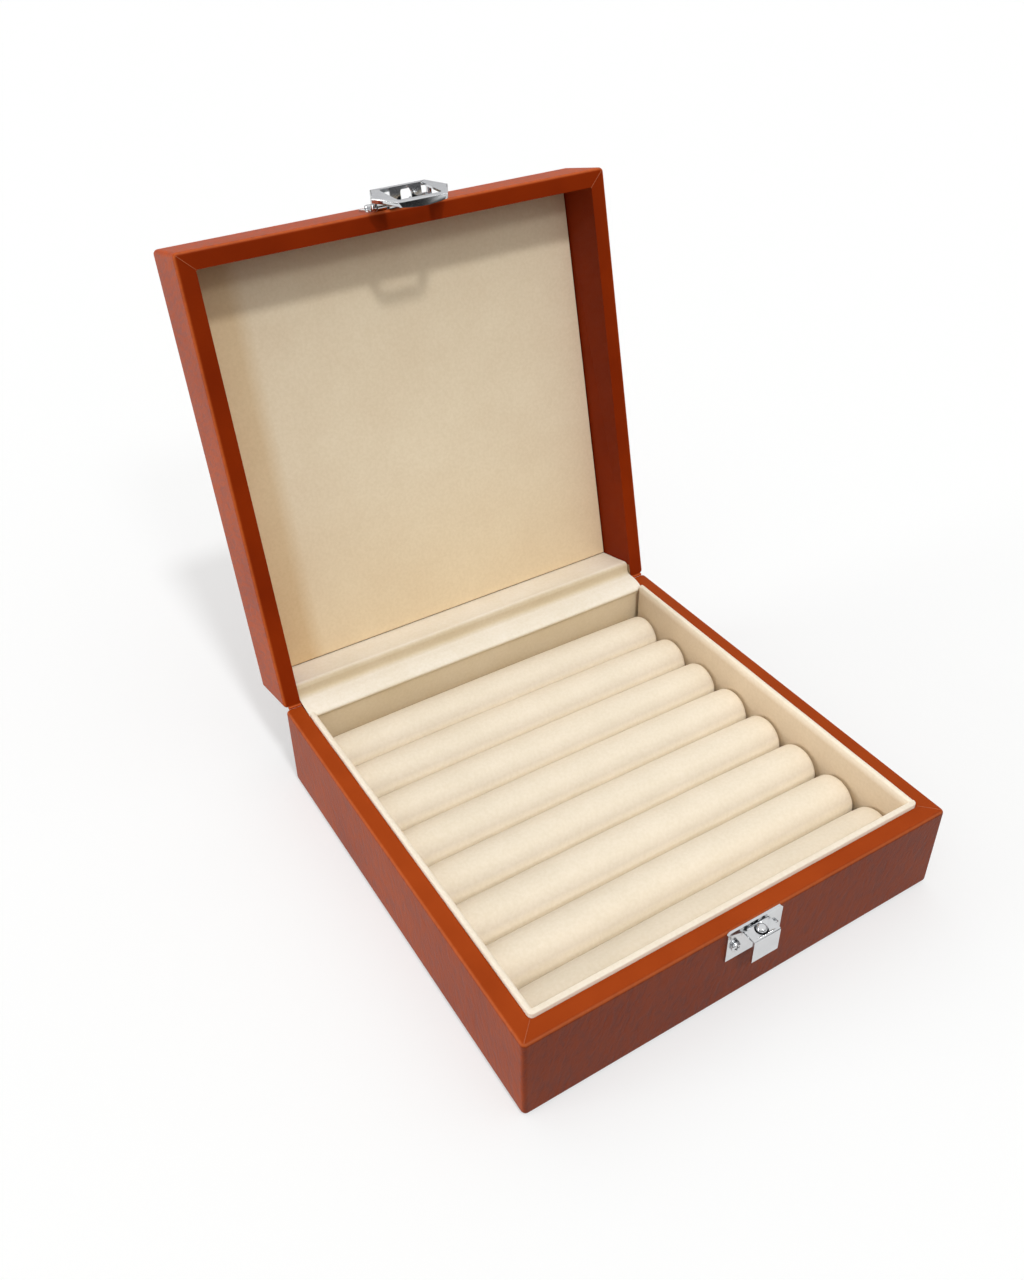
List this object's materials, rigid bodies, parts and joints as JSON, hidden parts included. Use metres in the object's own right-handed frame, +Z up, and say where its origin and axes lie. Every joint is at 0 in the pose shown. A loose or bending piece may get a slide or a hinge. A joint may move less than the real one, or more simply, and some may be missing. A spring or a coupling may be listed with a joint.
{
  "type": "ring organizer box",
  "caption": "Square hinged ring box in orange-brown leather, with a cream velvet tray of parallel ring rolls, a lined lid and a chromed clasp whose flap swings over a catch.",
  "frame": {"origin": "centre of the square underside, on the surface that the box stands on", "axes": "+Z up, -Y towards the clasp and whoever opens the box, +X to their right; the lid hinges at +Y"},
  "size_m": [0.2, 0.2825, 0.2456],
  "materials": {
    "imitation_leather": "orange-brown, fine grain, satin",
    "cream_velvet": "soft short pile",
    "lining_velvet": "soft short pile",
    "ivory_cloth": "soft, matt",
    "underside_cloth": "matt",
    "chromed_steel": "polished",
    "fibreboard": "raw",
    "card": "raw",
    "foam": "open cell"
  },
  "bodies": {
    "base": {"base_floor_board": "fibreboard", "base_front_board": "fibreboard", "base_back_board": "fibreboard", "base_left_board": "fibreboard", "base_right_board": "fibreboard", "base_leather": "imitation_leather", "underside_cloth": "underside_cloth", "leather_hinge": "imitation_leather", "collar_front_card": "card", "collar_front_velvet": "cream_velvet", "collar_left_card": "card", "collar_left_velvet": "cream_velvet", "collar_right_card": "card", "collar_right_velvet": "cream_velvet", "ring_roll_1_velvet": "cream_velvet", "ring_roll_1_foam": "foam", "ring_roll_1_end_discs": "cream_velvet", "ring_roll_2_velvet": "cream_velvet", "ring_roll_2_foam": "foam", "ring_roll_2_end_discs": "cream_velvet", "ring_roll_3_velvet": "cream_velvet", "ring_roll_3_foam": "foam", "ring_roll_3_end_discs": "cream_velvet", "ring_roll_4_velvet": "cream_velvet", "ring_roll_4_foam": "foam", "ring_roll_4_end_discs": "cream_velvet", "ring_roll_5_velvet": "cream_velvet", "ring_roll_5_foam": "foam", "ring_roll_5_end_discs": "cream_velvet", "ring_roll_6_velvet": "cream_velvet", "ring_roll_6_foam": "foam", "ring_roll_6_end_discs": "cream_velvet", "ring_roll_7_velvet": "cream_velvet", "ring_roll_7_foam": "foam", "ring_roll_7_end_discs": "cream_velvet", "ring_roll_8_velvet": "cream_velvet", "ring_roll_8_foam": "foam", "ring_roll_8_end_discs": "cream_velvet", "roll_card": "card", "tray_foam_pad": "foam", "hinge_cloth_on_base": "ivory_cloth", "catch_plate": "chromed_steel", "catch_stud": "chromed_steel", "catch_screws": "chromed_steel"},
    "lid": {"lid_top_board": "fibreboard", "lid_front_board": "fibreboard", "lid_back_board": "fibreboard", "lid_left_board": "fibreboard", "lid_right_board": "fibreboard", "lid_leather": "imitation_leather", "lid_lining_card": "card", "lid_lining_velvet": "lining_velvet", "hinge_cloth_on_lid": "ivory_cloth", "clasp_plate": "chromed_steel", "clasp_screws": "chromed_steel", "clasp_pin": "chromed_steel"},
    "flap": {"clasp_flap": "chromed_steel"}
  },
  "joints": [
    {"name": "lid_hinge", "type": "hinge", "parent": "base", "child": "lid", "pos_m": [0, 0.1, 0.04215], "axis": [1, 0, 0], "range_deg": [0, 103.3]},
    {"name": "clasp_flap_hinge", "type": "hinge", "parent": "lid", "child": "flap", "pos_m": [0, 0.1499, 0.23782], "axis": [-1, 0, 0], "range_deg": [0, 75]}
  ]
}
